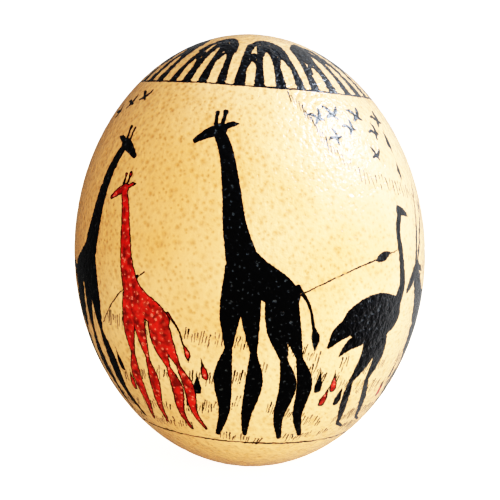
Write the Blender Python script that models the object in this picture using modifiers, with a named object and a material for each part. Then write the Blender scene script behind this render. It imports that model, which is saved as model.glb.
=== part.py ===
"""Decorated ostrich egg: one blown shell, standing upright on a small flat spot.

Metres, +Z up. The origin is the centre of the flat spot that the egg stands on.
The painted band is colour only, so it has no shape here.
"""

import math

import bmesh
import bpy

# Driving dimensions of the whole egg, before the flat spot is rubbed on its lower end.
EGG_LENGTH = 0.156
EGG_WIDTH = 0.1262
# Radius of the flat spot.
FLAT_RADIUS = 0.010

# How far the outline leaves an ellipse: the first value thins the upper end and fills
# the lower one, the second slims both ends alike.
END_BIAS = -0.0086
END_SLIMNESS = -0.0155

# Facets around the axis, and rows from the top down to the flat spot.
STEPS_AROUND = 72
ROWS_DOWN = 38

MERGE_DISTANCE = 0.00001
CREAM_SHELL = (0.86, 0.69, 0.40, 1.0)
SHELL_ROUGHNESS = 0.28


def clear_scene():
    """Removes what Blender's start-up scene holds."""
    for old in list(bpy.data.objects):
        bpy.data.objects.remove(old)


def outline_point(angle):
    """Radius and height above the egg's middle at a parametric angle above its widest ring.

    The height is half the length times the angle's sine. The radius is half the width
    times the cosine, changed a little by a first and a second power of the sine.
    """
    rise = math.sin(angle)
    swell = 1.0 + END_BIAS * rise + END_SLIMNESS * rise * rise
    return EGG_WIDTH / 2 * math.cos(angle) * swell, EGG_LENGTH / 2 * rise


def flat_angle():
    """The angle on the lower end where the outline is as wide as the flat spot, by halving."""
    low, high = -math.pi / 2, 0.0
    for _ in range(60):
        middle = (low + high) / 2
        if outline_point(middle)[0] < FLAT_RADIUS:
            low = middle
        else:
            high = middle
    return (low + high) / 2


def shell_outline():
    """Points (radius, height) from the top of the egg down its side to the flat spot's centre."""
    top, bottom = math.pi / 2, flat_angle()
    floor = outline_point(bottom)[1]
    points = [(0.0, EGG_LENGTH / 2 - floor)]
    for row in range(1, ROWS_DOWN + 1):
        radius, height = outline_point(top + (bottom - top) * row / ROWS_DOWN)
        points.append((radius, height - floor))
    points.append((0.0, 0.0))
    return points


def shell_material():
    """Pale cream eggshell under a clear varnish."""
    material = bpy.data.materials.new("varnished_eggshell")
    material.use_nodes = True
    shader = material.node_tree.nodes["Principled BSDF"]
    shader.inputs["Base Color"].default_value = CREAM_SHELL
    shader.inputs["Roughness"].default_value = SHELL_ROUGHNESS
    shader.inputs["Metallic"].default_value = 0.0
    return material


def turned_shell(collection):
    """The eggshell, turned from its outline about the upright axis."""
    mesh = bpy.data.meshes.new("eggshell")
    outline = bmesh.new()
    corners = [outline.verts.new((radius, 0.0, height)) for radius, height in shell_outline()]
    for upper, lower in zip(corners, corners[1:]):
        outline.edges.new((upper, lower))
    outline.to_mesh(mesh)
    outline.free()

    shell = bpy.data.objects.new("eggshell", mesh)
    collection.objects.link(shell)
    turn = shell.modifiers.new("turn about the axis", "SCREW")
    turn.axis = "Z"
    turn.angle = 2 * math.pi
    turn.steps = STEPS_AROUND
    turn.render_steps = STEPS_AROUND
    turn.use_merge_vertices = True
    turn.merge_threshold = MERGE_DISTANCE
    turn.use_smooth_shade = True
    mesh.materials.append(shell_material())
    return shell


def main():
    clear_scene()
    egg = bpy.data.collections.new("decorated ostrich egg")
    bpy.context.scene.collection.children.link(egg)
    turned_shell(egg)


main()
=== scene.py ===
# %% [markdown]
# # A decorated ostrich egg
# The object is one blown ostrich egg, 155 mm tall, that stands on a small flat spot. Its cream
# shell is full of shallow pores, a drawing in black and red ink goes all the way round it, and
# a clear glossy varnish covers both. This lesson makes the pitted shell as one mesh, works the
# drawing out as pen strokes that lie on it, and hands the strokes to a material.

# %% Load the solid model
import math
from functools import partial

import bpy
import numpy as np
from mathutils import Matrix, Vector


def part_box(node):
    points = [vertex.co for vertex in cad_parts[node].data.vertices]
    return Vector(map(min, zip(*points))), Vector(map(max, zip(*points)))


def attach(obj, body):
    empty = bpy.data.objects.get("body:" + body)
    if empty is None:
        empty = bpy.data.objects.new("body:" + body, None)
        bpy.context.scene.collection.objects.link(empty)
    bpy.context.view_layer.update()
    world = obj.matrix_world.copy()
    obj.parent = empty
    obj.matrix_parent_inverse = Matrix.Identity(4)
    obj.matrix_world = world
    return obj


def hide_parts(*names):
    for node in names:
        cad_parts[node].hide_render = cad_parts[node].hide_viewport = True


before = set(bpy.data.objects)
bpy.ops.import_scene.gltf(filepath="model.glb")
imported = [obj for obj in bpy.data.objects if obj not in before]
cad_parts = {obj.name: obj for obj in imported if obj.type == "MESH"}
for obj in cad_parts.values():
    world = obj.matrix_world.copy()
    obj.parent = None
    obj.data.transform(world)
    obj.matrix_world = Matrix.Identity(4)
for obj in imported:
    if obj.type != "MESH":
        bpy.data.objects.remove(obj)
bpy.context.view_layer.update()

SOLID_LOW, SOLID_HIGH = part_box("eggshell")
print("solid egg, lowest and highest corner:", SOLID_LOW, SOLID_HIGH)

# %% [markdown]
# The egg's outline is an ellipse that is a little fuller below than above. All sizes of this
# script are in metres unless a name ends in MM. The egg is 156 mm long as it was laid. Its flat
# spot takes 1 mm off the lower end, so its middle is 77 mm above the floor.

# %% Sizes of the egg
MM = 0.001
EGG_LENGTH = 0.156
EGG_WIDTH = SOLID_HIGH[0] - SOLID_LOW[0]
END_BIAS = -0.0086
END_SLIMNESS = -0.0155
EGG_MIDDLE = SOLID_HIGH[2] - EGG_LENGTH / 2
print("egg width and height of its middle, mm:", EGG_WIDTH / MM, EGG_MIDDLE / MM)

# %% [markdown]
# The camera stands close, 375 mm from the egg's middle and a little above it, so the rings that
# are drawn around the egg show as shallow arcs. It is rolled by 1.6 degrees, which makes the
# egg's top lean to the left. Its direction is built from three vectors at right angles: back
# from the egg, to the right, and up, the last two turned by the roll.

# %% Camera
CAMERA_DISTANCE = 0.375
CAMERA_ELEVATION = math.radians(6.6)
CAMERA_ROLL = math.radians(1.63)
FOCAL_LENGTH_MM = 74.0
SENSOR_MM = 36.0
FRAME_SHIFT = (0.0006, 0.0042)


def add_object(name, data):
    """A new object of the scene, at the origin, that shows a mesh, a camera or a light."""
    made = bpy.data.objects.new(name, data)
    bpy.context.scene.collection.objects.link(made)
    return made


def make_camera():
    """A camera on a circle round the egg's middle, at azimuth zero, turned by the roll."""
    back = Vector((0.0, -math.cos(CAMERA_ELEVATION), math.sin(CAMERA_ELEVATION)))
    level_right = Vector((1.0, 0.0, 0.0))
    level_up = back.cross(level_right)
    up = level_up * math.cos(CAMERA_ROLL) + level_right * math.sin(CAMERA_ROLL)
    right = up.cross(back)
    place = Vector((0.0, 0.0, EGG_MIDDLE)) + back * CAMERA_DISTANCE
    lens = bpy.data.cameras.new("camera")
    lens.lens = FOCAL_LENGTH_MM
    lens.sensor_width = SENSOR_MM
    lens.shift_x, lens.shift_y = FRAME_SHIFT
    lens.clip_start = 0.01
    camera = add_object("camera", lens)
    turn = Matrix((right, up, back)).transposed().to_4x4()
    camera.matrix_world = Matrix.Translation(place) @ turn
    bpy.context.scene.camera = camera
    return camera


camera = make_camera()
print("camera at", tuple(round(value, 4) for value in camera.location))

# %% [markdown]
# A sphere of latitudes and longitudes has thin facets at its poles, and the top of this egg is
# in full view. So the shell starts as a cube with six square grids, blown up to a ball: the
# grid lines are tangents of equal angles, which keeps the facets nearly the same size
# everywhere. The ball's points then move to the egg by its outline formula. Points that would
# lie under the floor are lifted to it, which makes the flat spot.

# %% The egg's form
GRID_STEPS = 128
MERGE_DECIMALS = 7
CUBE_SIDES = (
    ((1, 0, 0), (0, 1, 0), (0, 0, 1)),
    ((-1, 0, 0), (0, 0, 1), (0, 1, 0)),
    ((0, 1, 0), (0, 0, 1), (1, 0, 0)),
    ((0, -1, 0), (1, 0, 0), (0, 0, 1)),
    ((0, 0, 1), (1, 0, 0), (0, 1, 0)),
    ((0, 0, -1), (0, 1, 0), (1, 0, 0)),
)


def shell_point(ball):
    """Moves points of the unit ball to the egg.

    The height is half the egg's length times the ball's height. The distance from the axis is
    half its width times the ball's distance, times one plus a bias of the height and a
    slimness of the height squared.
    """
    rise = ball[..., 2]
    swell = EGG_WIDTH / 2 * (1 + END_BIAS * rise + END_SLIMNESS * rise**2)
    height = EGG_LENGTH / 2 * rise + EGG_MIDDLE
    return np.stack([ball[..., 0] * swell, ball[..., 1] * swell, height], axis=-1)


def unit(vectors):
    """The vectors brought to length one."""
    return vectors / np.linalg.norm(vectors, axis=-1, keepdims=True)


def ball_grid(steps):
    """Points and square facets of a ball made of six warped grids, with the seams merged.

    A point on one side is the side's direction plus the tangents of two angles, each from
    minus to plus 45 degrees, along the side's two edges, brought to length one.
    """
    slope = np.tan(np.linspace(-math.pi / 4, math.pi / 4, steps + 1))
    across, along = np.meshgrid(slope, slope, indexing="ij")
    sides = np.array(CUBE_SIDES, dtype=float)
    points = (
        sides[:, 0, None, None, :]
        + sides[:, 1, None, None, :] * across[None, :, :, None]
        + sides[:, 2, None, None, :] * along[None, :, :, None]
    )
    points = unit(points).reshape(-1, 3)
    number = np.arange(len(points)).reshape(len(sides), steps + 1, steps + 1)
    corners = (number[:, :-1, :-1], number[:, 1:, :-1], number[:, 1:, 1:], number[:, :-1, 1:])
    squares = np.stack(corners, axis=-1).reshape(-1, 4)
    _, first, place = np.unique(
        np.round(points, MERGE_DECIMALS), axis=0, return_index=True, return_inverse=True
    )
    return points[first], place.reshape(-1)[squares]


ball, squares = ball_grid(GRID_STEPS)
smooth_shell = shell_point(ball)
print("shell grid:", len(ball), "points,", len(squares), "facets")

# %% [markdown]
# An ostrich shell has a pore every two or three millimetres. Each pore is a shallow pit that
# dirt and varnish have stained brown. Here they are points on a spiral that spaces them evenly
# over a ball, then shaken so that no row shows. Every pore gets its own size.

# %% Pores
random = np.random.default_rng(27)
PORE_SPACING_MM = 2.1
PORE_SHAKE = 0.42
SIZE_SPREAD = 0.28
SIZE_LIMITS = (0.55, 1.8)
SHELL_AREA_MM2 = 58000.0
PORE_COUNT = int(SHELL_AREA_MM2 / PORE_SPACING_MM**2)


def spiral_ball(count):
    """Evenly spread points: equal steps of height, each turned on by the golden angle."""
    index = np.arange(count)
    height = 1 - (2 * index + 1) / count
    radius = np.sqrt(1 - height**2)
    turn = index * math.pi * (3 - math.sqrt(5))
    return np.stack([radius * np.cos(turn), radius * np.sin(turn), height], axis=-1)


def shaken(ball_points, amount):
    """The points moved at random by a share of their spacing, and brought back to the ball."""
    spacing = math.sqrt(4 * math.pi / len(ball_points))
    return unit(ball_points + random.normal(0.0, amount * spacing / 1.7, ball_points.shape))


pore_places = shell_point(shaken(spiral_ball(PORE_COUNT), PORE_SHAKE))
pore_sizes = np.clip(random.lognormal(0.0, SIZE_SPREAD, PORE_COUNT), *SIZE_LIMITS)
print("pores:", PORE_COUNT)

# %% [markdown]
# Pores and pen strokes are both marks on the shell: a start, a run to the end, and a half-width
# at each end. A pore is a mark with no run. The material can work a mark's edge out exactly at
# every point it shades, if it knows which marks are near. So each facet of the mesh is told
# the few marks that are nearest to its middle. Sorting the places by height makes the search
# quick, because each mark then looks only at a thin slice of them.

# %% Which marks are near
def nearest_marks(places, starts, runs, widths, reach, keep):
    """Numbers of the marks nearest to each place, keep of them, with -1 where there are fewer.

    The gap from a place to a mark is its distance from the nearest point of the mark's line,
    less the half-width there. Only gaps under the reach count.
    """
    order = np.argsort(places[:, 2])
    heights = places[order, 2]
    found = []
    low = np.minimum(starts[:, 2], starts[:, 2] + runs[:, 2])
    high = np.maximum(starts[:, 2], starts[:, 2] + runs[:, 2])
    margin = widths.max(axis=1) + reach
    first = np.searchsorted(heights, low - margin)
    last = np.searchsorted(heights, high + margin)
    squared = np.maximum((runs**2).sum(axis=1), 1e-18)
    for mark in range(len(starts)):
        nearby = order[first[mark]:last[mark]]
        apart = places[nearby] - starts[mark]
        share = np.clip(apart @ runs[mark] / squared[mark], 0, 1)
        apart = apart - share[:, None] * runs[mark]
        half_width = widths[mark, 0] + share * (widths[mark, 1] - widths[mark, 0])
        gap = np.sqrt((apart**2).sum(axis=1)) - half_width
        close = gap < reach
        numbers = np.full(close.sum(), mark)
        found.append(np.stack([nearby[close], numbers, gap[close]]))
    table = np.full((len(places), keep), -1)
    place, number, gap = np.concatenate(found, axis=1)
    ranked = np.lexsort((gap, place))
    place = place[ranked].astype(int)
    number = number[ranked].astype(int)
    rank = np.arange(len(place)) - np.searchsorted(place, place)
    chosen = rank < keep
    table[place[chosen], rank[chosen]] = number[chosen]
    return table


# %% [markdown]
# The pits are real dents in the mesh. A pit is hardly wider than a facet, so the mesh point
# nearest to each pore is first moved to it, and every pit then has its own lowest point. The
# material adds only the fine core. Slow waves, a few hundredths of a millimetre high, are what
# makes the varnish shine unevenly. Both go inwards only, so the egg keeps its size.

# %% Dents and waves
PIT_RADIUS_MM = 0.82
PIT_DEPTH_MM = 0.17
PIT_REACH_MM = 2.2
FAR_MM = 10.0
GATHERED_SHARE = 0.8
WAVE_COUNT = 70
WAVE_LENGTHS_MM = (7.0, 22.0)
WAVE_HEIGHT_MM = 0.045


def nearest_pores(points):
    """For each point its nearest pore and the distance to it in mm, or -1 and a far distance."""
    no_run = np.zeros_like(pore_places)
    no_width = np.zeros((PORE_COUNT, 2))
    nearest = nearest_marks(points, pore_places, no_run, no_width, PIT_REACH_MM * MM, 1)[:, 0]
    gap = np.linalg.norm(points - pore_places[nearest], axis=1) / MM
    return nearest, np.where(nearest < 0, FAR_MM, gap)


def gathered(points):
    """The points, with the one nearest to each pore moved most of the way to it.

    The move stops short of the pore, so that no facet folds over where two pores are close.
    """
    nearest, gap = nearest_pores(points)
    ranked = np.lexsort((gap, nearest))
    pore = nearest[ranked]
    first = np.concatenate([[True], pore[1:] != pore[:-1]]) & (pore >= 0)
    moved = points.copy()
    chosen = ranked[first]
    moved[chosen] += GATHERED_SHARE * (pore_places[pore[first]] - points[chosen])
    return moved


def slow_waves(points):
    """A sum of cosine waves in random directions, brought to values from 0 to 1."""
    direction = unit(random.normal(size=(WAVE_COUNT, 3)))
    length = random.uniform(*WAVE_LENGTHS_MM, WAVE_COUNT) * MM
    phase = random.uniform(0, 2 * math.pi, WAVE_COUNT)
    total = np.cos(points @ (direction * (2 * math.pi / length[:, None])).T + phase).sum(axis=1)
    return (total - total.min()) / (total.max() - total.min())


def dented(points):
    """The shell's points pushed in along the normal by the pits and the waves."""
    nearest, gap = nearest_pores(points)
    size = pore_sizes[nearest]
    pit = PIT_DEPTH_MM * size * np.exp(-((gap / (PIT_RADIUS_MM * size)) ** 2))
    wave = WAVE_HEIGHT_MM * slow_waves(points)
    middle = np.array([0.0, 0.0, EGG_MIDDLE])
    half_sizes = np.array([EGG_WIDTH / 2, EGG_WIDTH / 2, EGG_LENGTH / 2])
    normal = unit((points - middle) / half_sizes**2)
    return points - normal * ((pit + wave) * MM)[:, None]


shell = dented(gathered(smooth_shell))
shell[:, 2] = np.maximum(shell[:, 2], 0.0)
print("flat spot radius, mm:", np.hypot(*shell[shell[:, 2] == 0.0][:, :2].T).max() / MM)

# %% [markdown]
# The mesh also gets a UV map, so that its colours can be kept as a picture. The six grids are
# already flat squares, so they are simply laid out as two rows of three, with a thin margin
# between them. A map that is cut by Blender would fall into thousands of scraps, because the
# pits make neighbouring facets face different ways.

# %% The shell as a mesh
BAKE_MAP = "OFBake"
UV_MARGIN = 0.01


def square_layout(steps):
    """UV places of the corners of all facets: one square of the picture for each side."""
    edge = np.linspace(UV_MARGIN, 1 - UV_MARGIN, steps + 1)
    across, along = np.meshgrid(edge, edge, indexing="ij")
    grid = np.stack([across, along], axis=-1)
    corners = np.stack([grid[:-1, :-1], grid[1:, :-1], grid[1:, 1:], grid[:-1, 1:]], axis=2)
    column_and_row = np.array([(side % 3, side // 3) for side in range(len(CUBE_SIDES))])
    placed = corners[None] + column_and_row[:, None, None, None, :]
    return placed.reshape(-1, 2) / (3, 2)


def make_shell_mesh(points, faces):
    """A smooth-shaded mesh object at the origin from arrays of points and square faces."""
    mesh = bpy.data.meshes.new("painted_eggshell")
    mesh.from_pydata(points, [], faces)
    mesh.shade_smooth()
    layout = mesh.uv_layers.new(name=BAKE_MAP)
    layout.data.foreach_set("uv", square_layout(GRID_STEPS).ravel())
    return add_object("painted_eggshell", mesh)


eggshell = make_shell_mesh(shell, squares)
print("mesh:", len(eggshell.data.polygons), "facets")

# %% [markdown]
# The drawing is laid out on paper, in millimetres across and up, one sheet for each thing that
# is drawn. A sheet is wrapped round the egg at a facing angle, where 0 is the front. Up is
# measured along the shell from a foot line just below the lower ring, and across is measured
# along the parallel, so nothing is stretched. The rings on the real egg are not quite level:
# the whole drawing leans to the right by 4.6 degrees.

# %% From paper to shell
DRAWING_LEAN = math.radians(4.6)
PAPER_FOOT_RISE = -0.775
LOWER_RING_RISE = -0.757
UPPER_RING_RISE = 0.7455

latitudes = np.linspace(-math.pi / 2, math.pi / 2, 2001)
meridian = shell_point(np.stack([np.cos(latitudes), 0 * latitudes, np.sin(latitudes)], axis=-1))
meridian_steps = np.linalg.norm(np.diff(meridian, axis=0), axis=1)
meridian_arc = np.concatenate([[0.0], np.cumsum(meridian_steps)])
foot_arc = np.interp(math.asin(PAPER_FOOT_RISE), latitudes, meridian_arc)
upper_arc = np.interp(math.asin(UPPER_RING_RISE), latitudes, meridian_arc)
BAND_MM = (upper_arc - foot_arc) / MM


def girth_at(up):
    """Distance from the drawing's axis, in mm, at a height up the band in mm."""
    latitude = np.interp(foot_arc + up * MM, meridian_arc, latitudes)
    return np.interp(latitude, latitudes, meridian[:, 0]) / MM


def ball_place(latitude, turn):
    """Places on the ball at a latitude and a turn about the axis, where no turn is the front."""
    flat = np.cos(latitude)
    return np.stack([flat * np.sin(turn), -flat * np.cos(turn), np.sin(latitude)], axis=-1)


def leaned(ball_points):
    """The ball's points turned about the line of sight, so that the drawing leans right."""
    cosine, sine = math.cos(DRAWING_LEAN), math.sin(DRAWING_LEAN)
    x, y, z = ball_points[..., 0], ball_points[..., 1], ball_points[..., 2]
    return np.stack([x * cosine + z * sine, y, z * cosine - x * sine], axis=-1)


def on_shell(across, up, facing):
    """Paper millimetres at a facing angle in degrees, to places on the shell."""
    latitude = np.interp(foot_arc + up * MM, meridian_arc, latitudes)
    turn = np.radians(facing) + across / girth_at(up)
    return shell_point(leaned(ball_place(latitude, turn)))


print("upper ring, mm up the shell from the foot line:", round(BAND_MM, 1))

# %% [markdown]
# A pen or brush stroke is a short list of points (across, up, half-width). A curve that passes
# through all of them joins the points, and is then cut into short straight runs, because each
# run has to lie on the curved shell. The sketch collects the runs by ink.

# %% Strokes
RUN_LENGTH_MM = 1.5
CURVE_SAMPLES = 12
FINEST_MM = 0.06
sketch = {"black": [], "red": []}


def smooth_curve(points):
    """Points on a Catmull-Rom curve through the given ones, about a run's length apart.

    Between two points the curve is a cubic whose slope at each is half the step between the
    point's two neighbours.
    """
    given = np.asarray(points, dtype=float)
    ends = (2 * given[:1] - given[1:2], given, 2 * given[-1:] - given[-2:-1])
    p = np.vstack(ends)
    t = np.linspace(0, 1, CURVE_SAMPLES, endpoint=False)[None, :, None]
    a, b, c, d = (p[k:len(p) - 3 + k, None, :] for k in range(4))
    cubic = 2 * b + (c - a) * t + (2 * a - 5 * b + 4 * c - d) * t**2
    cubic = 0.5 * (cubic + (3 * b - a - 3 * c + d) * t**3)
    curve = np.vstack([cubic.reshape(-1, given.shape[1]), given[-1:]])
    steps = np.linalg.norm(np.diff(curve[:, :2], axis=0), axis=1)
    length = np.concatenate([[0.0], np.cumsum(steps)])
    count = max(int(round(length[-1] / RUN_LENGTH_MM)), 2)
    even = np.linspace(0, length[-1], count + 1)
    return np.stack([np.interp(even, length, column) for column in curve.T], axis=-1)


def draw_places(places, half_widths, ink, strength=1.0):
    """Adds a chain of runs through places on the shell, with half-widths in mm, to the sketch."""
    amounts = np.full(len(places) - 1, strength)
    runs = np.diff(places, axis=0)
    widths = np.stack([half_widths[:-1], half_widths[1:]], axis=-1) * MM
    sketch[ink].append(np.column_stack([places[:-1], runs, widths, amounts]))


def draw(points, facing, ink="black", at=(0.0, 0.0), size=1.0, mirror=False, strength=1.0):
    """Draws one stroke of a sheet, moved, scaled and mirrored on the paper first."""
    curve = smooth_curve(points)
    across = curve[:, 0] * size * (-1 if mirror else 1) + at[0]
    up = curve[:, 1] * size + at[1]
    half_widths = np.maximum(curve[:, 2], FINEST_MM) * size
    draw_places(on_shell(across, up, facing), half_widths, ink, strength)


# %% [markdown]
# Two thin ring lines, drawn with a pen while the egg was turned, close the band below and
# above. A pencil ring was left near the top, where the crown was set out. A slow wander and a
# changing width keep them from looking printed.

# %% Ring lines
RING_RUNS = 260
RING_WANDER_MM = 0.22
PENCIL_RING_RISE = 0.966


def draw_ring(rise, half_width, strength=1.0):
    """A closed line at one height of the ball, with a slow wander up and down."""
    turn = np.linspace(0, 2 * math.pi, RING_RUNS + 1)
    wander = sum(
        random.normal(0, RING_WANDER_MM / cycles) * np.sin(cycles * turn + random.uniform(0, 6.28))
        for cycles in range(2, 10)
    )
    latitude = math.asin(rise) + wander * MM / (EGG_LENGTH / 2)
    half_widths = half_width * (1 + 0.3 * np.sin(11 * turn) * np.sin(5 * turn + 1))
    places = shell_point(leaned(ball_place(latitude, turn)))
    draw_places(places, half_widths, "black", strength)


draw_ring(LOWER_RING_RISE, 0.44)
draw_ring(UPPER_RING_RISE, 0.40)
draw_ring(PENCIL_RING_RISE, 0.11, strength=0.55)

# %% [markdown]
# The crown is a common border of rays. Black legs stand side by side on the upper ring, get
# narrower as they rise, and join in fours under an arch, round a bare cap. The slits between
# the legs end at different heights, and some arches keep a small bare oval below them. A leg is
# one broad stroke with a short bar across its foot, which makes the foot flat.

# %% Crown
GROUPS = 10
LEG_DEGREES = 360 / (GROUPS * 4)
OPEN_SIDES = (-1, 1, None)


def draw_on_crown(facing, points):
    """A stroke through points (height up the crown, place counted in legs, half-width)."""
    sheet = [
        (math.radians(place * LEG_DEGREES) * girth_at(BAND_MM + up), BAND_MM + up, half_width)
        for up, place, half_width in points
    ]
    draw(sheet, facing)


def draw_leg(facing, place, broad):
    """A leg at a place in its group, leaning to the group's middle, with its foot bar."""
    outline = ((2.1, 1.8), (4.5, 1.55), (8.0, 1.3), (12.0, 1.18), (16.0, 1.18), (20.0, 1.2),
               (23.0, 1.2))
    draw_on_crown(facing, [(up, place * (1 - 0.0003 * up**2), w * broad) for up, w in outline])
    half_bar = (1.95 * broad - 0.6) / (math.radians(LEG_DEGREES) * girth_at(BAND_MM))
    draw_on_crown(facing, [(0.62, place + k * half_bar, 0.6) for k in (-1, 0, 1)])


def draw_group(facing, open_side):
    """Four legs, the arch over them, and the ink that closes the slits; one oval may stay."""
    for place in (-1.5, -0.5, 0.5, 1.5):
        draw_leg(facing, place + random.normal(0, 0.05), random.uniform(0.86, 1.08))
    top = 28.0 + random.normal(0, 0.6)
    draw_on_crown(facing, (
        (18.0, -1.45, 1.15), (23.0, -1.2, 1.4), (top - 1.4, -0.6, 1.6), (top, 0, 1.6),
        (top - 1.4, 0.6, 1.6), (23.0, 1.2, 1.4), (18.0, 1.45, 1.15),
    ))
    for place, slit, roof in ((-1, 12.5, 24.0), (0, 19.5, 27.0), (1, 15.0, 24.0)):
        slit = slit + random.normal(0, 1.0)
        draw_on_crown(facing, (
            (slit - 3.4, place - 0.36, 0.7), (slit - 0.2, place - 0.22, 0.8),
            (slit + 0.9, place, 0.8),
            (slit - 0.2, place + 0.22, 0.8), (slit - 3.4, place + 0.36, 0.7),
        ))
        if place == open_side:
            roof = slit + 3.6
        draw_on_crown(facing, ((slit + 2.3, place, 1.5), (roof, place, 1.55)))


for group in range(GROUPS):
    facing = 360 / GROUPS * (group + 0.18) + random.normal(0, 0.6)
    draw_group(facing, OPEN_SIDES[group % 3])
print("crown, radius at its foot and at its top, mm:",
      girth_at(BAND_MM).round(1), girth_at(BAND_MM + 28.0).round(1))

# %% [markdown]
# The band shows grazing animals and birds as long-legged silhouettes, the way they look
# against a low sun. Each animal is a list of brush strokes: one for the back, one for the
# neck, and so on. Where strokes overlap they run together, as wet ink does.

# %% Animals
GIRAFFE = (
    ((11.0, 57, 3.4), (7.0, 59.0, 5.0), (1, 62.5, 5.3), (-3.6, 67.0, 4.8)),
    ((-3.4, 66, 5.0), (-6.2, 77, 3.6), (-7.6, 88, 2.8), (-9.4, 99, 2.2), (-12, 106.5, 1.9)),
    ((-11.4, 107, 2.2), (-15, 105.4, 1.8), (-19.2, 102.6, 1.0)),
    ((-11.0, 108.5, 0.8), (-10.1, 112.6, 0.55), (-10.0, 113.2, 0.95)),
    ((-13.0, 108.6, 0.7), (-12.6, 112.2, 0.5), (-12.6, 112.8, 0.8)),
    ((-10.4, 107.5, 0.9), (-8.0, 108.9, 1.1), (-6.0, 109.2, 0.3)),
    ((-4.4, 64, 4.4), (-6.6, 51, 3.3), (-6.8, 40, 1.3)),
    ((-6.8, 39.5, 1.2), (-8.2, 29, 2.9), (-7.4, 16, 1.8), (-9.2, 4, 0.8)),
    ((-1.6, 62, 4.2), (-0.4, 49, 2.8), (0.8, 39, 1.2)),
    ((0.8, 38.5, 1.1), (1.4, 28, 2.7), (-0.4, 15, 1.7), (-0.6, 5, 0.75)),
    ((8.0, 57, 4.6), (8.0, 47, 3.7), (10.2, 37, 1.3)),
    ((10.2, 36.5, 1.2), (12.0, 27, 2.8), (9.8, 14, 1.7), (10.6, 3.5, 0.8)),
    ((10.2, 55, 3.6), (12.0, 47, 3.1), (15.0, 38, 1.2)),
    ((15.0, 37.5, 1.1), (17.4, 28, 2.6), (16.0, 15, 1.6), (17.6, 5, 0.75)),
    ((13.4, 60.0, 0.8), (17.4, 54, 0.5), (19.0, 47, 0.5)),
    ((19.0, 47.5, 0.4), (20.0, 44, 1.4), (19.8, 40.2, 0.3)),
)
ORYX = (
    ((15.5, 45, 4.6), (10, 46.6, 7.2), (0, 47.6, 7.6), (-9, 49, 7.9), (-13, 51.5, 5.4)),
    ((-11.5, 51.5, 6.4), (-16, 58.5, 4.4), (-19.2, 65, 3.3)),
    ((-18.6, 66, 3.0), (-22.4, 63.2, 2.3), (-27.2, 58.2, 1.2)),
    ((-18.2, 67.5, 1.1), (-14.2, 77, 0.85), (-8.6, 87, 0.6), (-3.6, 95, 0.25)),
    ((-20.2, 67.5, 1.0), (-18.2, 78, 0.8), (-14.6, 89, 0.55), (-11.2, 97.5, 0.25)),
    ((-17, 66, 0.9), (-13.6, 65.6, 1.2), (-11.6, 64.2, 0.3)),
    ((-10, 47, 5.2), (-11.4, 37, 3.4), (-10.6, 28, 1.4)),
    ((-10.6, 27.5, 1.3), (-11.8, 20, 2.5), (-10.8, 11, 1.6), (-12.0, 3.5, 0.8)),
    ((-7, 45, 4.4), (-5.6, 36, 3.0), (-6.4, 28, 1.3)),
    ((-6.4, 27.5, 1.3), (-4.8, 20, 2.4), (-6.2, 11, 1.5), (-5.6, 4, 0.75)),
    ((12, 45, 6.2), (11.6, 37, 4.2), (14.2, 28.5, 1.5)),
    ((14.2, 28, 1.4), (15.8, 21, 2.5), (13.4, 11.5, 1.6), (13.6, 3.5, 0.8)),
    ((14, 43, 4.8), (16.4, 36, 3.5), (20, 29, 1.4)),
    ((20, 28.5, 1.3), (22.4, 21.5, 2.4), (21.0, 12, 1.5), (22.6, 4.5, 0.75)),
    ((18.4, 48.5, 0.8), (22.2, 43, 0.45), (23.4, 37, 0.45)),
    ((23.4, 37.5, 0.4), (24.4, 33.6, 1.5), (24.0, 29.2, 0.3)),
)
OSTRICH = (
    ((15, 52, 2.2), (9, 53.5, 6.8), (1, 54, 9.2), (-6.5, 54.6, 7.4), (-10, 56.5, 3.6)),
    ((12, 52, 4.2), (17.5, 48.5, 3.0), (20.5, 43.5, 0.8)),
    ((6, 47, 3.4), (12, 43.5, 2.0), (15, 39.5, 0.4)),
    ((-8.6, 56, 3.4), (-13.2, 64, 2.3), (-12.4, 75, 1.7), (-10.6, 85, 1.5), (-13, 93, 1.6)),
    ((-12.6, 93.4, 2.0), (-15.4, 92.8, 1.5), (-19.4, 91.2, 0.5)),
    ((0, 48, 5.2), (1.4, 38, 3.6), (5.4, 28.5, 1.4)),
    ((5.4, 28, 1.3), (3.8, 18, 1.9), (0.2, 6, 0.8)),
    ((0.2, 6, 0.9), (-4.4, 3.2, 0.6)),
    ((-3, 48, 4.6), (-5.4, 38, 3.2), (-3.4, 28.5, 1.3)),
    ((-3.4, 28, 1.2), (-6.8, 18, 1.8), (-10.8, 7, 0.8)),
    ((-10.8, 7, 0.8), (-15.2, 4.6, 0.5)),
)

ACACIA = (
    ((0.5, 0, 1.7), (-1, 14, 1.3), (-0.5, 27, 1.15), (1, 40, 0.95)),
    ((-0.8, 24, 0.9), (-6, 36, 0.75), (-14, 46, 0.6), (-19, 54, 0.45)),
    ((0, 32, 0.9), (6, 42, 0.75), (14, 49, 0.6), (19, 55, 0.45)),
    ((0.8, 38, 0.9), (-2, 48, 0.7), (-6, 57, 0.5)),
    ((1, 40, 0.9), (5, 50, 0.7), (7, 58, 0.5)),
    ((-26, 55.5, 0.8), (-17, 58.5, 2.3), (-9, 59.6, 1.6), (-1, 60.6, 2.9), (8, 59.8, 1.7)),
    ((6, 60, 1.6), (15, 59.2, 2.5), (21, 57.6, 1.3), (27, 56, 0.7)),
    ((-15, 62, 1.1), (-8, 64, 2.0), (-2, 64.2, 1.3), (5, 64.6, 2.2), (13, 62.2, 0.9)),
)

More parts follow.
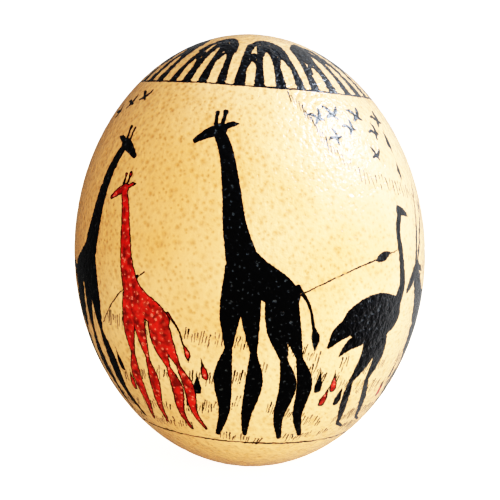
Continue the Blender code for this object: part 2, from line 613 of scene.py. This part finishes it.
# Strokes, facing angle, height of the feet above the foot line in mm, size, mirrored, ink.
for strokes, facing, ground, size, mirror, ink in (
    (ACACIA, -94, 6, 0.95, True, "black"), (GIRAFFE, -61, 3, 0.95, True, "black"),
    (GIRAFFE, -34, 4, 0.80, False, "red"), (GIRAFFE, 1, 2, 1.03, False, "black"),
    (OSTRICH, 42, 6, 0.88, True, "black"), (ORYX, 79, 9, 0.9, False, "black"),
    (GIRAFFE, 121, 3, 0.98, True, "black"), (OSTRICH, 149, 5, 0.92, False, "red"),
    (ACACIA, 177, 6, 1.0, False, "black"), (ORYX, 204, 4, 0.85, True, "black"),
    (GIRAFFE, 237, 4, 0.92, False, "black"),
):
    for points in strokes:
        draw(points, facing, ink, at=(0.0, ground), size=size, mirror=mirror)

# %% [markdown]
# Dry grass is drawn with a fine pen and thinned brown ink, as rows of short upright ticks in
# loose bunches. The rows rise and fall like low hills. The same ticks mark a path that comes
# down from the upper ring.

# %% Grass
TICK_HALF_WIDTH = 0.25
PATH_RADIUS_MM = 60.0


def draw_tick(facing, up, length, slant):
    """One tick: a thin straight stroke about the given place."""
    angle = math.radians(90 + slant)
    reach_across = math.cos(angle) * length / 2
    reach_up = math.sin(angle) * length / 2
    half_width = TICK_HALF_WIDTH * random.uniform(0.75, 1.25)
    ends = ((-reach_across, up - reach_up, half_width * 0.7),
            (reach_across, up + reach_up, half_width))
    draw(ends, facing, strength=random.uniform(0.7, 1.2))


def draw_grass(base, swing, waves, length, gap=0.95, cover=0.8):
    """A row of ticks round the egg at a height that swings as a sine with so many waves."""
    phases = random.uniform(0, 2 * math.pi, 4)
    facing = 0.0
    while facing < 360:
        turn = math.radians(facing)
        up = base + swing * math.sin(waves * turn + phases[0])
        up += 0.35 * swing * math.sin(2.3 * waves * turn + phases[1])
        bunch = math.sin(13 * turn + phases[2]) + 0.8 * math.sin(23 * turn + phases[3])
        if bunch > 1.6 - 3.2 * cover and random.uniform() > 0.07:
            tick = length * random.uniform(0.55, 1.15)
            draw_tick(facing, up + random.normal(0, 0.6), tick, random.normal(-9, 5))
        facing += math.degrees(gap * random.uniform(0.7, 1.35) / girth_at(up))


def draw_path(corners, length, gap=1.9):
    """Ticks along a curve through points (facing, up)."""
    course = smooth_curve([(math.radians(f) * PATH_RADIUS_MM, up, 1.0) for f, up in corners])
    lengths = np.arange(len(course)) * RUN_LENGTH_MM
    for along in np.arange(0, RUN_LENGTH_MM * len(course), gap):
        facing = math.degrees(np.interp(along, lengths, course[:, 0]) / PATH_RADIUS_MM)
        up = float(np.interp(along, lengths, course[:, 1])) + random.normal(0, 0.5)
        draw_tick(facing, up, length * random.uniform(0.7, 1.2), random.normal(4, 5))


draw_grass(41, 6, 2, 4.6, cover=0.6)
draw_grass(30, 5, 3, 4.8)
draw_grass(17, 3.5, 4, 4.4)
draw_grass(6.5, 1.8, 5, 3.6, cover=0.6)
draw_path(((14, 127), (19, 121), (27, 108), (38, 99), (52, 96), (66, 92), (80, 80)), 4.0)
draw_path(((196, 126), (206, 112), (222, 104), (236, 106), (250, 98)), 3.4)

# %% [markdown]
# Small things fill the gaps: seed pods in black and red that stand in the grass, reeds with a
# dark seed head, a flock of little birds, and chains of narrow leaves that hang from the ring.

# %% Small things
HEAD_AT = 0.78
STEM_BOW = 0.04
POD = ((0, 9.0, 0.12), (0, 7.2, 0.3), (0, 5.4, 0.75), (0, 3.0, 1.35), (0, 1.3, 1.2))
BIRD = (
    ((-3.1, 1.4, 0.35), (-1.3, 1.2, 0.72), (0, -0.4, 0.6)),
    ((0.2, -0.5, 0.6), (1.4, 1.3, 0.72), (1.6, 3.3, 0.35)),
    ((-1.2, -1.9, 0.5), (0.2, -0.4, 0.75), (2.2, -1.0, 0.35)),
)


def turned(points, degrees):
    """The points of a stroke turned about the paper's origin, anticlockwise."""
    cosine, sine = math.cos(math.radians(degrees)), math.sin(math.radians(degrees))
    return [(x * cosine - y * sine, x * sine + y * cosine, w) for x, y, w in points]


def draw_reed(facing, up, length, slope):
    """A long thin bowed stem with a spindle-shaped seed head on it."""
    def bow(share):
        return STEM_BOW * length * math.sin(math.pi * share)

    stem = [(length * share, bow(share), 0.26) for share in (0, 0.25, 0.5, 0.75, 1)]
    outline = ((-3.6, 0.25), (-1.3, 1.35), (1.3, 1.4), (3.8, 0.25))
    head = [(HEAD_AT * length + x, bow(HEAD_AT), half_width) for x, half_width in outline]
    for points in (stem, head):
        draw(turned(points, slope), facing, at=(0.0, up))


def draw_leaf_chain(facing, top, bottom, sway):
    """Narrow leaves end to end down a swaying line."""
    up = top
    while up > bottom:
        length = random.uniform(4.0, 9.0)
        broad = 0.5 + 0.1 * length * random.uniform(0.7, 1.0)
        ends = [sway * math.sin(height / 22) for height in (up, up - length / 2, up - length)]
        draw(((ends[0], up, 0.15), (ends[1], up - length / 2, broad),
              (ends[2], up - length, 0.15)), facing)
        up -= length + random.uniform(2.0, 4.0)


for facing, up, ink, size, tilt in (
    (-47.5, 27, "black", 1.0, 6), (-45, 20, "red", 0.95, -8), (-16.5, 24, "black", 1.0, -4),
    (-13.0, 30, "red", 0.95, 8), (24.5, 27, "black", 1.05, 4), (27.5, 21, "red", 1.0, -8),
    (30.5, 27, "red", 1.0, 8), (34, 21, "black", 1.0, -4), (59.5, 21, "red", 0.95, 6),
    (62.5, 28, "black", 1.0, -5), (162, 24, "black", 1.1, 5), (166.5, 19, "red", 0.95, -7),
    (218.5, 26, "red", 1.0, -4), (222, 20, "black", 0.95, 5), (258, 26, "red", 1.0, 7),
    (-85, 25, "black", 1.05, -5), (-89, 20, "red", 0.95, 6),
):
    draw(turned(POD, tilt), facing, ink, at=(0.0, up), size=size)

for facing, up, length, slope in (
    (12, 60, 46, 20), (-52, 44, 30, 42), (62, 62, 30, 24), (100, 66, 40, 44), (192, 60, 40, 28),
    (250, 48, 36, 36),
):
    draw_reed(facing, up, length, slope)

for facing, up, size, tilt in (
    (24, 119, 1.0, 10), (31, 121, 1.1, -20), (38, 116, 0.95, 15), (30, 112, 0.9, 40),
    (44, 121, 1.1, -8), (52, 115, 1.0, 22), (59, 120, 1.1, 5), (47, 107, 0.9, -30),
    (-62, 120, 1.0, 12), (-54, 123, 1.0, -15), (-70, 116, 0.9, 30),
    (98, 118, 1.1, 8), (107, 112, 1.0, -22), (110, 121, 1.0, 18), (176, 112, 1.0, -5),
    (186, 118, 1.1, 14), (270, 112, 1.0, 10), (278, 118, 1.0, -12),
):
    for points in BIRD:
        draw(turned(points, tilt), facing, at=(0.0, up), size=size)

draw_leaf_chain(62, 124, 100, 2.5)
draw_leaf_chain(156, 124, 88, -3.0)
draw_leaf_chain(256, 122, 84, 2.0)

strokes = {ink: np.concatenate(rows) for ink, rows in sketch.items()}
print("pen runs:", {ink: len(rows) for ink, rows in strokes.items()})

# %% [markdown]
# Now every facet is told its nearest runs and pores. Each of them becomes three attributes of
# the facet: where the mark starts, its run, and a triple of the half-width at the start, its
# change along the run, and the strength of the ink. They are in millimetres, which are
# comfortable numbers in a shader.

# %% Tell the facets their marks
BLACK_KEPT = 4
RED_KEPT = 3
PORES_KEPT = 2
FACET_REACH = 0.95 * MM
PORE_REACH = 1.9 * MM
NO_MARK = (-50.0, 0.0, 1.0)

facet_middles = shell[squares].mean(axis=1)


def facet_attribute(name, vectors):
    """Stores one vector for each facet of the shell."""
    attribute = eggshell.data.attributes.new(name, "FLOAT_VECTOR", "FACE")
    attribute.data.foreach_set("vector", np.asarray(vectors, dtype=np.float32).ravel())


def tell_facets(kind, marks, reach, keep):
    """Stores the marks nearest to each facet as attributes named for their kind."""
    starts, runs, widths, strength = marks[:, :3], marks[:, 3:6], marks[:, 6:8], marks[:, 8]
    nearest = nearest_marks(facet_middles, starts, runs, widths, reach, keep)
    for k in range(keep):
        number = nearest[:, k]
        there = (number >= 0)[:, None]
        change = widths[number, 1] - widths[number, 0]
        width = np.column_stack([widths[number, 0] / MM, change / MM, strength[number]])
        facet_attribute(f"{kind}_start_{k}", np.where(there, starts[number] / MM, 0.0))
        facet_attribute(f"{kind}_run_{k}", np.where(there, runs[number] / MM, 0.0))
        facet_attribute(f"{kind}_width_{k}", np.where(there, width, NO_MARK))
    return (nearest >= 0).mean(axis=0)


pore_marks = np.column_stack([pore_places, np.zeros((PORE_COUNT, 5)), pore_sizes])
print("facets with black runs:", tell_facets("black", strokes["black"], FACET_REACH, BLACK_KEPT))
print("facets with red runs:", tell_facets("red", strokes["red"], FACET_REACH, RED_KEPT))
print("facets with pores:", tell_facets("pore", pore_marks, PORE_REACH, PORES_KEPT))

# %% [markdown]
# The finish is one material in layers, as on the real egg: the porous shell, the ink that
# soaked into it, and the varnish on top, which is the shader's coat. One helper adds a node
# with its settings and links, and each function below fills its own node tree in first.
# Colours are written as sRGB hex and turned to linear light.

# %% Helpers for materials
def linear(hex_colour):
    """An sRGB hex colour as linear red, green, blue and alpha."""
    channels = np.array([int(hex_colour[k:k + 2], 16) / 255 for k in (1, 3, 5)])
    light = np.where(channels <= 0.04045, channels / 12.92, ((channels + 0.055) / 1.055) ** 2.4)
    return (*light.tolist(), 1.0)


def add_node(tree, kind, inputs=None, **settings):
    """Adds a shader node, sets its properties, links or sets its inputs, returns its outputs."""
    node = tree.nodes.new("ShaderNode" + kind)
    for name, value in settings.items():
        setattr(node, name, value)
    for name, value in (inputs or {}).items():
        if isinstance(value, bpy.types.NodeSocket):
            tree.links.new(value, node.inputs[name])
        else:
            node.inputs[name].default_value = value
    return node.outputs


# %% [markdown]
# The gap from a shaded point to a mark is worked out in a node group, in the same way as the
# search above did it: the point's place along the run, held between 0 and 1, then the distance
# to that place less the half-width there.

# %% Gap to a mark, as a node group
def make_gap_group():
    tree = bpy.data.node_groups.new("gap to a mark", "ShaderNodeTree")
    for name in ("Point", "Start", "Run", "Width"):
        tree.interface.new_socket(name, in_out="INPUT", socket_type="NodeSocketVector")
    for name in ("Gap", "Strength"):
        tree.interface.new_socket(name, in_out="OUTPUT", socket_type="NodeSocketFloat")
    add = partial(add_node, tree)
    given = tree.nodes.new("NodeGroupInput").outputs
    result = tree.nodes.new("NodeGroupOutput").inputs
    apart = add("VectorMath", {0: given["Point"], 1: given["Start"]}, operation="SUBTRACT")[0]
    ahead = add("VectorMath", {0: apart, 1: given["Run"]}, operation="DOT_PRODUCT")["Value"]
    whole = add("VectorMath", {0: given["Run"], 1: given["Run"]}, operation="DOT_PRODUCT")["Value"]
    share = add("Math", {0: ahead, 1: whole}, operation="DIVIDE", use_clamp=True)[0]
    foot = add("VectorMath", {0: given["Run"], "Scale": share}, operation="SCALE")[0]
    distance = add("VectorMath", {0: apart, 1: foot}, operation="DISTANCE")["Value"]
    width = add("SeparateXYZ", {0: given["Width"]})
    half_width = add("Math", {0: share, 1: width["Y"], 2: width["X"]}, operation="MULTIPLY_ADD")[0]
    gap = add("Math", {0: distance, 1: half_width}, operation="SUBTRACT")[0]
    tree.links.new(gap, result["Gap"])
    tree.links.new(width["Z"], result["Strength"])
    return tree


gap_group = make_gap_group()


def mark_gap(add, kind, number, point):
    """Gap and strength of one of the facet's marks, at a point in mm."""
    inputs = {"Point": point}
    for part in ("start", "run", "width"):
        name = f"{kind}_{part}_{number}"
        inputs[part.capitalize()] = add("Attribute", attribute_name=name)["Vector"]
    found = add("Group", inputs, node_tree=gap_group)
    return found["Gap"], found["Strength"]


# %% [markdown]
# Bird's eggshell is matt calcite with the colour of old ivory. Its pores hold brown dirt. The
# black is drawing ink, so dense that it is nearly neutral, and thinned to brown in the grass.
# The red is a thinner glaze, so it shows darker and lighter patches and a black pen outline.
# Pale rings in the pits of both inks are painted highlights, grey-blue on the black and rose on
# the red. A gloss varnish, brushed on, follows the pits: it gives the sharp window of light and
# the white sparkle where pits lie in that light.

# %% Varnished shell with ink
# The shell's two colours are mixed along clouds that also carry painted light and shade: the pale
# one lies where the lamps light the shell most, the warm one where it is in shade.
SHELL_PALE = linear("#F0C592")
SHELL_WARM = linear("#E1A869")
PORE_BROWN = linear("#BB7F3C")
INK_BLACK = linear("#050508")
INK_BROWN = linear("#3A2716")
# Painted glint: the grey-blue that thin rings round the pores get on the black ink.
INK_PAINTED_GLINT = linear("#56616C")
RED_BRIGHT = linear("#CE100E")
RED_DEEP = linear("#6E0304")
# Painted highlight: the pale rose in the pits of the red.
RED_PAINTED_GLINT = linear("#EE6A5C")

CLOUD_MM = 40.0
# Where the cloud noise is read, and a steady change per mm towards paler: both put the pale shell
# on its lit lower right, which is painted light.
CLOUD_PLACE_FOR_SHADE = (329.0, -229.0, 181.0)
PAINTED_LIGHT_PER_MM = (0.0035, 0.0, -0.0020)
OUTLINE_MM = 0.48
INK_EDGE_MM = 0.05
RAGGED_MM = 0.6
RAGGED_GRAIN_MM = 1.0
STAIN_RADIUS_MM = 1.0
CORE_RADIUS_MM = 0.42
CORE_DEPTH_MM = 0.13
RIPPLE_MM = 1.2
SHELL_RIPPLE_MM = 0.30
VARNISH_RIPPLE_MM = 0.36
# Radius and width of the painted glint ring round each pore.
GLINT_RING_RADIUS_MM = 0.30
GLINT_RING_WIDTH_MM = 0.15
CLOUD_RANGE = (0.50, 0.90)
STAIN_CORE = 0.1
WARM_STAIN = 0.35
# Shares of painted highlight: rose in the pits of the red, grey-blue round the pores of the black.
PIT_GLINT_ON_RED = 0.16
GLINT_SHARE_ON_BLACK = 0.28

# Grain in mm, its detail, the noise from and to, and the values that it gives there.
GRAINS = {
    "dirt": (3.2, 2.0, (0.38, 0.64), (0.02, 0.46)),
    # The speckle grain breaks the painted glint rings into specks.
    "glint_speckle": (0.9, 1.0, (0.47, 0.60), (0.0, 1.0)),
    "patches": (2.6, 2.5, (0.38, 0.62), (0.0, 1.0)),
}


def make_shell_material():
    material = bpy.data.materials.new("gloss-varnished eggshell, inked")
    material.use_nodes = True
    tree = material.node_tree
    add = partial(add_node, tree)
    shader = tree.nodes["Principled BSDF"]

    metres = add("TexCoord")["Object"]
    point = add("VectorMath", {0: metres, "Scale": 1 / MM}, operation="SCALE")[0]

    # The pen's edge follows the grain of the shell: the point is shaken before it is measured.
    grain = add("TexNoise", {"Vector": point, "Scale": 1 / RAGGED_GRAIN_MM, "Detail": 1.5})["Color"]
    shake = add("VectorMath", {0: grain, 1: (0.5, 0.5, 0.5)}, operation="SUBTRACT")[0]
    pen_point = add("VectorMath", {0: shake, 1: (RAGGED_MM, RAGGED_MM, RAGGED_MM), 2: point},
                    operation="MULTIPLY_ADD")[0]

    # Black: the strongest of the near strokes.
    black = 0.0
    for k in range(BLACK_KEPT):
        gap, strength = mark_gap(add, "black", k, pen_point)
        cover = add("MapRange", {"Value": gap, "From Min": INK_EDGE_MM, "From Max": -INK_EDGE_MM,
                                 "To Max": strength})[0]
        black = add("Math", {0: black, 1: cover}, operation="MAXIMUM")[0]

    # Red: the gap to the whole red shape, from which its outline is a band.
    red_gap = FAR_MM
    for k in range(RED_KEPT):
        gap = mark_gap(add, "red", k, pen_point)[0]
        red_gap = add("Math", {0: red_gap, 1: gap}, operation="MINIMUM")[0]
    red_shape = add("MapRange",
                    {"Value": red_gap, "From Min": INK_EDGE_MM, "From Max": -INK_EDGE_MM})[0]
    red_inside = add("MapRange", {"Value": red_gap, "From Min": -OUTLINE_MM + INK_EDGE_MM,
                                  "From Max": -OUTLINE_MM - INK_EDGE_MM})[0]

    # Pores: the distance to the nearest one, counted in its own size.
    pore = FAR_MM
    for k in range(PORES_KEPT):
        distance, size = mark_gap(add, "pore", k, point)
        distance = add("Math", {0: distance, 1: size}, operation="DIVIDE")[0]
        pore = add("Math", {0: pore, 1: distance}, operation="MINIMUM")[0]
    stain = add("MapRange", {"Value": pore, "From Min": STAIN_RADIUS_MM, "From Max": STAIN_CORE},
                interpolation_type="SMOOTHSTEP")[0]
    core = add("MapRange", {"Value": pore, "From Min": CORE_RADIUS_MM, "From Max": 0.0},
               interpolation_type="SMOOTHSTEP")[0]

    # Noises of several grains, each stretched between two values.
    grains = {}
    for name, (size, detail, (start, end), (low, high)) in GRAINS.items():
        noise = add("TexNoise", {"Vector": point, "Scale": 1 / size, "Detail": detail})[0]
        grains[name] = add("MapRange", {"Value": noise, "From Min": start, "From Max": end,
                                        "To Min": low, "To Max": high})[0]

    # Shell: two ivories in clouds some centimetres wide, read at a place of the noise where the
    # warm one lies at the upper left and the pale one at the lower right. A steady change on top
    # makes it paler still towards the right and downwards. This is partly the shell's own tone and
    # partly painted light and shade, for the light that falls from the right and up from the floor.
    # The stains are not all as strong, and they follow the clouds, so they are also stronger on
    # the painted-shade side.
    cloud_point = add("VectorMath", {0: point, 1: CLOUD_PLACE_FOR_SHADE}, operation="ADD")[0]
    clouds_and_painted_light = add("TexNoise", {"Vector": cloud_point, "Scale": 1 / CLOUD_MM, "Detail": 3.0})[0]
    # Painted light: a steady change that makes the shell paler towards the right and downwards.
    painted_light_side = add("VectorMath", {0: point, 1: PAINTED_LIGHT_PER_MM}, operation="DOT_PRODUCT")["Value"]
    clouds_and_painted_light = add("Math", {0: clouds_and_painted_light, 1: painted_light_side}, operation="SUBTRACT")[0]
    clouds_and_painted_light = add("MapRange",
                 {"Value": clouds_and_painted_light, "From Min": CLOUD_RANGE[0], "From Max": CLOUD_RANGE[1]})[0]
    ivory_with_painted_light = add("Mix", {0: clouds_and_painted_light, 6: SHELL_PALE, 7: SHELL_WARM}, data_type="RGBA")[2]
    dirt = add("Math", {0: clouds_and_painted_light, 1: WARM_STAIN, 2: grains["dirt"]}, operation="MULTIPLY_ADD")[0]
    stain_strength = add("Math", {0: stain, 1: dirt}, operation="MULTIPLY")[0]
    shell_colour = add("Mix", {0: stain_strength, 6: ivory_with_painted_light, 7: PORE_BROWN}, data_type="RGBA")[2]

    # A thin ring round each pore is painted grey-blue on the black ink: a painted glint, for the
    # light that the varnish in the pits mirrors.
    painted_glint_ring = add("Math", {0: pore, 1: GLINT_RING_RADIUS_MM, 2: GLINT_RING_WIDTH_MM}, operation="COMPARE")[0]
    painted_glint_ring = add("Math", {0: painted_glint_ring, 1: grains["glint_speckle"]}, operation="MULTIPLY")[0]

    # Red glaze: patches, and a painted highlight in every pit, a pale rose spot and ring for the
    # light that the varnish there mirrors.
    glaze = add("Mix", {0: grains["patches"], 6: RED_DEEP, 7: RED_BRIGHT}, data_type="RGBA")[2]
    red_painted_glint = add("Math", {0: stain, 1: PIT_GLINT_ON_RED, 2: painted_glint_ring}, operation="MULTIPLY_ADD",
               use_clamp=True)[0]
    glaze = add("Mix", {0: red_painted_glint, 6: glaze, 7: RED_PAINTED_GLINT}, data_type="RGBA")[2]
    red_ink = add("Mix", {0: red_inside, 6: INK_BLACK, 7: glaze}, data_type="RGBA")[2]

    # Black ink over the shell, brown where it is thin, with its painted grey-blue glint round the
    # pores, then the red over both.
    black_ink = add("Mix", {0: black, 6: INK_BROWN, 7: INK_BLACK}, data_type="RGBA")[2]
    painted_glint_share = add("Math", {0: painted_glint_ring, 1: GLINT_SHARE_ON_BLACK}, operation="MULTIPLY")[0]
    black_ink = add("Mix", {0: painted_glint_share, 6: black_ink, 7: INK_PAINTED_GLINT}, data_type="RGBA")[2]
    colour = add("Mix", {0: black, 6: shell_colour, 7: black_ink}, data_type="RGBA")[2]
    colour = add("Mix", {0: red_shape, 6: colour, 7: red_ink}, data_type="RGBA")[2]

    # The fine core of each pit, in the shell and in the varnish. The varnish was brushed on, so
    # it has its own unevenness, which breaks the mirror image of the lamp into sparkles.
    ripple = add("TexNoise", {"Vector": point, "Scale": 1 / RIPPLE_MM, "Detail": 1.5})[0]
    bumps = []
    for ripple_height in (SHELL_RIPPLE_MM, VARNISH_RIPPLE_MM):
        height = add("Math", {0: ripple, 1: ripple_height}, operation="MULTIPLY")[0]
        height = add("Math", {0: core, 1: -CORE_DEPTH_MM, 2: height}, operation="MULTIPLY_ADD")[0]
        bumps.append(add("Bump", {"Strength": 1.0, "Distance": MM, "Height": height})[0])

    tree.links.new(colour, shader.inputs["Base Color"])
    tree.links.new(bumps[0], shader.inputs["Normal"])
    tree.links.new(bumps[1], shader.inputs["Coat Normal"])
    shader.inputs["Metallic"].default_value = 0.0
    shader.inputs["Roughness"].default_value = 0.5
    shader.inputs["IOR"].default_value = 1.5
    shader.inputs["Coat Weight"].default_value = 1.0
    shader.inputs["Coat Roughness"].default_value = 0.10
    shader.inputs["Coat IOR"].default_value = 1.5
    return material


eggshell.data.materials.append(make_shell_material())

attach(eggshell, "root")
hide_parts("eggshell")

# %% [markdown]
# The egg stands on a plain pale floor that is also its background. The light is that of a
# white product table: soft warm light from all round, strongest from above, one softbox high on
# the right, whose mirror image is the sparkling patch, a wide fill in front, and a paler one
# from the right side. The floor looks white to the camera and throws a weaker warm light up
# under the egg. What the varnish mirrors is kept apart from what lights the shell: the softbox,
# a pale wall behind on the right, and elsewhere only a dim grey. So the ink stays black, and
# only the egg's right edge gets a pale veil.

# %% Floor and light
FLOOR_SIZE = 60.0
FLOOR_COLOUR = linear("#F6E2BC")
FLOOR_GLOW_SEEN = 1.65
FLOOR_GLOW_LIGHT = 0.28
FLOOR_BOUNCE = linear("#FFE2AE")
SKY_SEEN = (1.0, 1.0, 1.0, 1.0)
SKY_SEEN_STRENGTH = 2.2
SKY_LIGHT = linear("#FFF8EC")
SKY_LIGHT_STRENGTH = 0.38
OVERHEAD_STRENGTH = 1.5
SKY_MIRRORED_STRENGTH = 0.09
WALL_MIRRORED_STRENGTH = 0.56
WALL_DIRECTION = (0.75, 0.65, 0.0)
WALL_EDGES = (0.3, 0.95)
OVERHEAD_EDGES = (0.45, 1.0)

# Name, direction from the egg's middle, distance, size, watts, colour, seen in the varnish.
LIGHTS = (
    ("softbox", (0.734, -0.094, 0.672), 0.65, 0.26, 4.5, (0.72, 0.83, 1.0), True),
    ("fill", (0.34, -0.88, 0.33), 1.1, 0.5, 10.8, (1.0, 1.0, 1.0), False),
    ("side", (0.95, -0.25, 0.15), 1.1, 0.8, 10.0, (0.86, 0.95, 1.0), False),
)


def make_floor():
    mesh = bpy.data.meshes.new("floor")
    half = FLOOR_SIZE / 2
    mesh.from_pydata([(-half, -half, 0), (half, -half, 0), (half, half, 0), (-half, half, 0)],
                     [], [(0, 1, 2, 3)])
    made = add_object("floor", mesh)
    material = bpy.data.materials.new("matt white board")
    material.use_nodes = True
    tree = material.node_tree
    add = partial(add_node, tree)
    shader = tree.nodes["Principled BSDF"]
    shader.inputs["Base Color"].default_value = FLOOR_COLOUR
    shader.inputs["Roughness"].default_value = 0.9
    shader.inputs["Specular IOR Level"].default_value = 0.0
    ray = add("LightPath")
    glow = add("Mix", {0: ray["Is Camera Ray"], 2: FLOOR_GLOW_LIGHT, 3: FLOOR_GLOW_SEEN})[0]
    glow_colour = add("Mix", {0: ray["Is Camera Ray"], 6: FLOOR_BOUNCE, 7: SKY_SEEN},
                      data_type="RGBA")[2]
    tree.links.new(glow, shader.inputs["Emission Strength"])
    tree.links.new(glow_colour, shader.inputs["Emission Color"])
    mesh.materials.append(material)
    made.visible_glossy = False


def add_softbox(name, direction, distance, size, power, colour, mirrored):
    """A square area light in a direction from the egg's middle, aimed at it."""
    light = bpy.data.lights.new(name, "AREA")
    light.size = size
    light.energy = power
    light.color = colour
    box = add_object(name, light)
    towards = Vector(direction).normalized()
    box.location = Vector((0.0, 0.0, EGG_MIDDLE)) + towards * distance
    box.rotation_euler = towards.to_track_quat("Z", "Y").to_euler()
    box.visible_camera = False
    box.visible_glossy = mirrored


def make_world():
    """White to the camera, soft light to the shell, dim grey and a pale wall to the varnish."""
    world = bpy.data.worlds.new("white product table")
    world.use_nodes = True
    tree = world.node_tree
    add = partial(add_node, tree)
    background = tree.nodes["Background"]
    ray = add("LightPath")
    direction = add("TexCoord")["Generated"]
    behind = add("VectorMath", {0: direction, 1: WALL_DIRECTION}, operation="DOT_PRODUCT")["Value"]
    mirrored = add("MapRange",
                   {"Value": behind, "From Min": WALL_EDGES[0], "From Max": WALL_EDGES[1],
                    "To Min": SKY_MIRRORED_STRENGTH, "To Max": WALL_MIRRORED_STRENGTH},
                   interpolation_type="SMOOTHSTEP")[0]
    height = add("SeparateXYZ", {0: direction})["Z"]
    sky_light = add("MapRange",
                    {"Value": height, "From Min": OVERHEAD_EDGES[0], "From Max": OVERHEAD_EDGES[1],
                     "To Min": SKY_LIGHT_STRENGTH, "To Max": OVERHEAD_STRENGTH},
                    interpolation_type="SMOOTHSTEP")[0]
    strength = add("Mix", {0: ray["Is Glossy Ray"], 2: sky_light, 3: mirrored})[0]
    strength = add("Mix", {0: ray["Is Camera Ray"], 2: strength, 3: SKY_SEEN_STRENGTH})[0]
    colour = add("Mix", {0: ray["Is Diffuse Ray"], 6: SKY_SEEN, 7: SKY_LIGHT}, data_type="RGBA")[2]
    tree.links.new(strength, background.inputs["Strength"])
    tree.links.new(colour, background.inputs["Color"])
    bpy.context.scene.world = world


make_floor()
make_world()
for light in LIGHTS:
    add_softbox(*light)

# %% [markdown]
# The photograph has deep blacks and highlights that roll off to white. A curve from scene light
# to display light does the same: a short toe, a nearly straight middle, and a long shoulder.

# %% Tone curve
WHITE_LIGHT = 2.0
TONE_CURVE = (
    (0.0, 0.0), (0.03, 0.006), (0.08, 0.055), (0.16, 0.14), (0.30, 0.30),
    (0.50, 0.50), (0.80, 0.70), (1.20, 0.87), (1.60, 0.955), (2.0, 1.0),
)


def set_tone_curve():
    view = bpy.context.scene.view_settings
    view.view_transform = "Standard"
    view.look = "None"
    view.use_curve_mapping = True
    mapping = view.curve_mapping
    mapping.white_level = (WHITE_LIGHT, WHITE_LIGHT, WHITE_LIGHT)
    curve = mapping.curves[3]
    while len(curve.points) < len(TONE_CURVE):
        curve.points.new(0.5, 0.5)
    for point, (light, shown) in zip(curve.points, TONE_CURVE):
        point.location = (light / WHITE_LIGHT, shown)
    mapping.update()


set_tone_curve()
